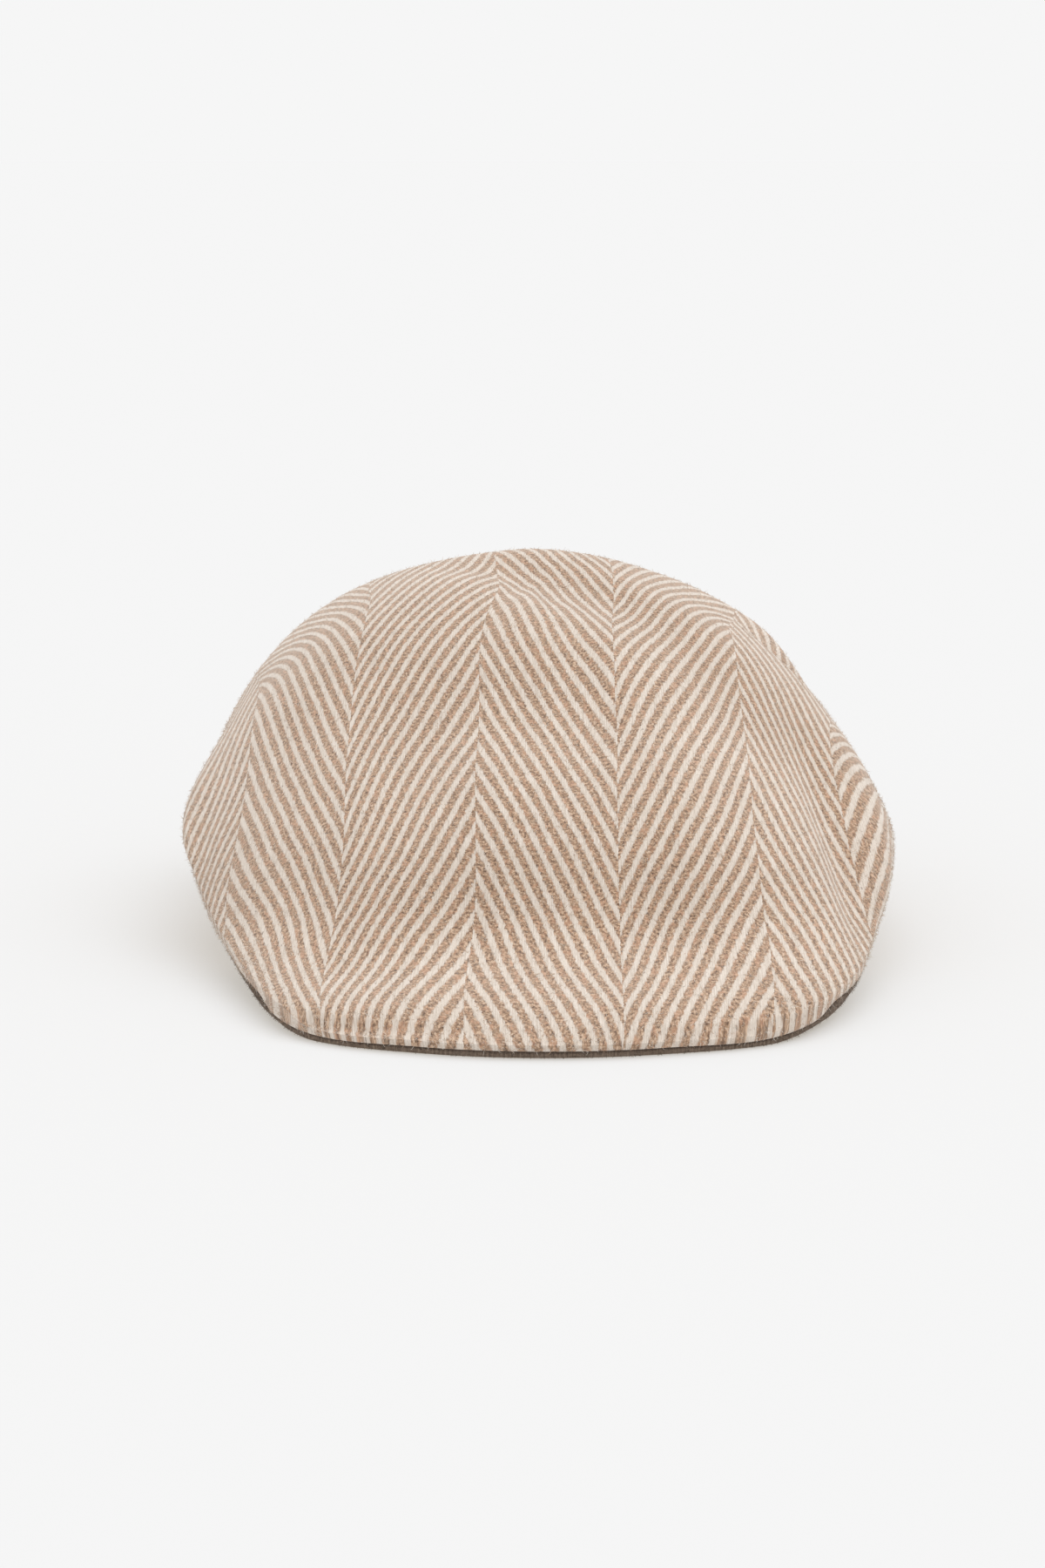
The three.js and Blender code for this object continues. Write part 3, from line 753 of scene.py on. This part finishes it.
def plain_wool(name):
    g = Shader(name)
    place = g.node("ShaderNodeUVMap", uv_map="cloth").outputs[0]
    mm = g.vec("SCALE", place, 100.0)
    grain = g.noise(g.vec("MULTIPLY", mm, (1.6, 2.0, 1.0)), 1.0, 3.0, 0.7)
    broad = g.noise(mm, 0.12, 2.0, 0.5)
    # dark grey-brown: partly the under-peak wool's own colour, partly painted shade of the strip under the front edge
    colour = g.ramp(grain, [(0.28, lin(92, 78, 66)), (0.5, lin(126, 109, 95)), (0.72, lin(160, 143, 126))])
    colour = g.mix(g.ease(broad, 0.4, 0.7, 0.0, 0.3), colour, lin(138, 122, 110))
    twill = g.math("SINE", g.math("MULTIPLY", g.math("ADD", g.split(mm)[0], g.split(mm)[1]), 2 * math.pi / 1.3))
    height = g.math("ADD", grain, g.math("MULTIPLY", twill, 0.12))
    return g.finish(colour, height, 0.0003, sheen=0.1)


def fibre_wool(name, low, high):
    g = Shader(name)
    where = g.node("ShaderNodeTexCoord").outputs["Object"]
    v = g.noise(where, 900.0, 1.0, 0.5, dims="3D")
    colour = g.ramp(v, [(0.35, low), (0.65, high)])
    b = g.bsdf
    g.put(b.inputs["Base Color"], colour)
    b.inputs["Roughness"].default_value = 0.9
    b.inputs["Specular IOR Level"].default_value = 0.1
    b.inputs["Sheen Weight"].default_value = 0.1
    return g.mat


# ---- fuzz -----------------------------------------------------------------------
def fuzz_mesh(name, roots, normals, count_rng, material, length=(0.9, 2.2), width=(0.05, 0.08), lean=(12, 55)):
    """Fine wool fibres as closed three-sided strands, each with one bend.  roots and normals in mm."""
    n = len(roots)
    r = count_rng
    t = unit(np.cross(normals, unit(r.normal(size=(n, 3)))))
    up = np.radians(r.uniform(lean[0], lean[1], n))[:, None]
    d = t * np.cos(up) + normals * np.sin(up)
    L = r.uniform(length[0], length[1], n)[:, None]
    w = r.uniform(width[0], width[1], n)[:, None]
    side = unit(np.cross(d, normals))
    other = unit(np.cross(d, side))
    bend = unit(d + 0.8 * unit(r.normal(size=(n, 3))) - 0.25 * normals)
    mid = roots + d * L * 0.5
    tip = mid + bend * L * 0.5
    base = roots - normals * 0.08
    verts = np.empty((n, 7, 3))
    for k in range(3):
        a = 2 * math.pi * k / 3
        around = side * math.cos(a) + other * math.sin(a)
        verts[:, k] = base + around * w
        verts[:, 3 + k] = mid + around * w * 0.8
    verts[:, 6] = tip
    pattern = [(0, 2, 1)]
    for k in range(3):
        l = (k + 1) % 3
        pattern += [(k, l, 3 + l), (k, 3 + l, 3 + k), (3 + k, 3 + l, 6)]
    pattern = np.array(pattern)
    faces = (np.arange(n)[:, None, None] * 7 + pattern[None]).reshape(-1, 3)
    # a small square of the bake map for each fibre
    per = int(math.ceil(math.sqrt(n)))
    cell = 0.99 / per
    ox, oy = 0.005 + (np.arange(n) % per) * cell, 0.005 + (np.arange(n) // per) * cell
    local = []
    for q in range(10):
        x, y = (q % 4) * 0.25, (q // 4) * 0.33
        local += [(x + 0.02, y + 0.02), (x + 0.22, y + 0.02), (x + 0.02, y + 0.29)]
    local = np.array(local) * cell
    bake = np.stack([ox, oy], -1)[:, None, :] + local[None]
    return make_mesh(name, to_world(verts.reshape(-1, 3)), faces.tolist(), None, bake.reshape(-1, 2), material, fix=False)


def scatter(P, N, count, r, weight=None):
    """Random places on a grid of points P with normals N, spread evenly or by weight."""
    a = np.linalg.norm(np.cross(P[1:, :-1] - P[:-1, :-1], P[:-1, 1:] - P[:-1, :-1]), axis=-1)
    if weight is not None:
        a = a * weight[:-1, :-1]
    c = np.cumsum(a.ravel())
    pick = np.searchsorted(c, r.uniform(0, c[-1], count))
    i, j = np.unravel_index(np.minimum(pick, a.size - 1), a.shape)
    s, t = r.uniform(size=(2, count, 1))
    at = lambda A: (A[i, j] * (1 - s) + A[i + 1, j] * s) * (1 - t) + (A[i, j + 1] * (1 - s) + A[i + 1, j + 1] * s) * t
    return at(P), unit(at(N))


# ---- stitches at the hem ----------------------------------------------------------
def stitches(name, path, normals, material, pitch=3.0, long=2.0, thick=0.42):
    """A row of small rounded stitches along a line of points, in mm."""
    seg = np.linalg.norm(np.diff(path, axis=0), axis=-1)
    run = np.concatenate([[0], np.cumsum(seg)])
    places = np.arange(pitch, run[-1] - pitch, pitch)
    verts, faces = [], []
    for p in places:
        ends = [np.array([np.interp(q, run, path[:, c]) for c in range(3)]) for q in (p - long / 2, p + long / 2)]
        up = unit(np.array([np.interp(p, run, normals[:, c]) for c in range(3)]))
        d = unit(ends[1] - ends[0])
        across = unit(np.cross(d, up))
        base = len(verts)
        rows = ((0.0, 0.0, -0.1), (0.18, 0.75, 0.12), (0.5, 1.0, 0.25), (0.82, 0.75, 0.12), (1.0, 0.0, -0.1))
        for f, wide, lift in rows:
            c = ends[0] * (1 - f) + ends[1] * f + up * lift
            if wide == 0.0:
                verts.append(c)
                continue
            for k in range(6):
                a = 2 * math.pi * k / 6
                verts.append(c + (across * math.cos(a) + up * math.sin(a)) * thick / 2 * wide)
        for k in range(6):
            l = (k + 1) % 6
            faces.append((base, base + 1 + l, base + 1 + k))
            for row in range(2):
                b = base + 1 + row * 6
                faces.append((b + k, b + l, b + 6 + l, b + 6 + k))
            faces.append((base + 13 + k, base + 13 + l, base + 19))
    return make_mesh(name, to_world(np.array(verts)), faces, None, None, material)


# ---- build -----------------------------------------------------------------------
top_wool = herringbone("herringbone_top")
# the side panels' cloth: the top's cloth made 3% darker, painted shade under the crown
side_wool_shaded = herringbone("herringbone_side_shaded", tone=0.97, start=(9.0, 3.0))
peak_wool = plain_wool("peak_wool")
cream_fibre = fibre_wool("cream_fibre", lin(226, 216, 202), lin(242, 236, 227))
tan_fibre = fibre_wool("tan_fibre", lin(184, 152, 124), lin(216, 190, 164))
# grey-brown lip fibres, their darkness partly painted shade
lip_fibre_and_shade = fibre_wool("lip_fibre_and_shade", lin(112, 96, 84), lin(156, 140, 126))
thread = fibre_wool("hem_thread", lin(196, 176, 154), lin(214, 196, 174))

crown, P, cloth, N = crown_mesh(top_wool)
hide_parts("crown_top")
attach(crown, "root")

pieces = [crown]
for name, sign in (("side_left", -1), ("side_right", 1)):
    ob, S, phi, share = side_mesh(name + "_cloth", sign, side_wool_shaded)
    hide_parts(name)
    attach(ob, "root")
    pieces.append(ob)
    line = S[2:-2, 29]
    along = np.gradient(S[2:-2, 29], axis=0)
    down = S[2:-2, 30] - S[2:-2, 28]
    face = unit(np.cross(along, down)) * -sign
    away = line - np.array([0, HEAD_Y, 20.0])
    face = np.where((face * away).sum(-1, keepdims=True) < 0, -face, face)
    ob = stitches(name + "_stitches", line, face, thread)
    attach(ob, "root")
    pieces.append(ob)

peak, peak_low, peak_high = peak_mesh(peak_wool)
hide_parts("peak")
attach(peak, "root")
pieces.append(peak)

# nap all over the top panel, thicker round its edge
phi, out = disc_grid(FINE)
edge_weight = 0.35 + 1.6 * smooth((out - 0.72) / 0.2)
for name, mat, count in (("nap_cream", cream_fibre, 15000), ("nap_tan", tan_fibre, 8000)):
    roots, normals = scatter(P, N, count, rng, edge_weight)
    ob = fuzz_mesh(name, roots, normals, rng, mat)
    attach(ob, "root")
    pieces.append(ob)

# fuzz on the peak's lip: grey-brown wool, darkened further as painted shade under the front edge
lip = np.stack([peak_low[:, 0], peak_high[:, 0]], 1)
lip_n = np.broadcast_to(unit((lip[:, :1] - np.array([0, MIDDLE_Y, 0])) * np.array([1, 1, 0.0])), lip.shape)
roots, normals = scatter(lip, lip_n, 3000, rng)
ob = fuzz_mesh("nap_lip", roots, normals, rng, lip_fibre_and_shade, length=(0.6, 1.6), lean=(0, 60))
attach(ob, "root")
pieces.append(ob)

# ---- stage, light and camera --------------------------------------------------------
def stage_mesh():
    """Wide pale floor; the even sky behind it has its brightness."""
    verts = [(-60, -60, -0.0002), (60, -60, -0.0002), (60, 60, -0.0002), (-60, 60, -0.0002)]
    me = bpy.data.meshes.new("floor")
    me.from_pydata(verts, [], [(0, 1, 2, 3)])
    ob = bpy.data.objects.new("floor", me)
    bpy.context.scene.collection.objects.link(ob)
    g = Shader("paper")
    g.bsdf.inputs["Base Color"].default_value = (0.404, 0.424, 0.458, 1)
    g.bsdf.inputs["Emission Color"].default_value = (0.40, 0.374, 0.33, 1)
    g.bsdf.inputs["Emission Strength"].default_value = 1.0
    g.bsdf.inputs["Roughness"].default_value = 1.0
    g.bsdf.inputs["Specular IOR Level"].default_value = 0.0
    me.materials.append(g.mat)
    return ob


stage_mesh()

world = bpy.data.worlds.new("studio")
world.use_nodes = True
world.node_tree.nodes["Background"].inputs[0].default_value = (1.0, 1.0, 1.0, 1.0)
world.node_tree.nodes["Background"].inputs[1].default_value = 0.9216
bpy.context.scene.world = world


# a very wide soft light from above and a little in front
light = bpy.data.lights.new("over", "SUN")
light.angle = math.radians(70)
light.energy = 1.2
ob = bpy.data.objects.new("over", light)
ob.rotation_euler = (math.radians(-6), math.radians(16), 0.0)
bpy.context.scene.collection.objects.link(ob)

cam = bpy.data.cameras.new("camera")
cam.sensor_fit = "VERTICAL"
cam.sensor_height = 36.0
cam.lens = 66.18
cam.clip_start, cam.clip_end = 0.05, 50.0
ob = bpy.data.objects.new("camera", cam)
ob.location = (-0.005617, -1.00329, 0.27738)
ob.rotation_euler = (math.radians(90 - 12.5), 0.0, 0.0)
bpy.context.scene.collection.objects.link(ob)
bpy.context.scene.camera = ob
bpy.context.scene.view_settings.view_transform = "Standard"
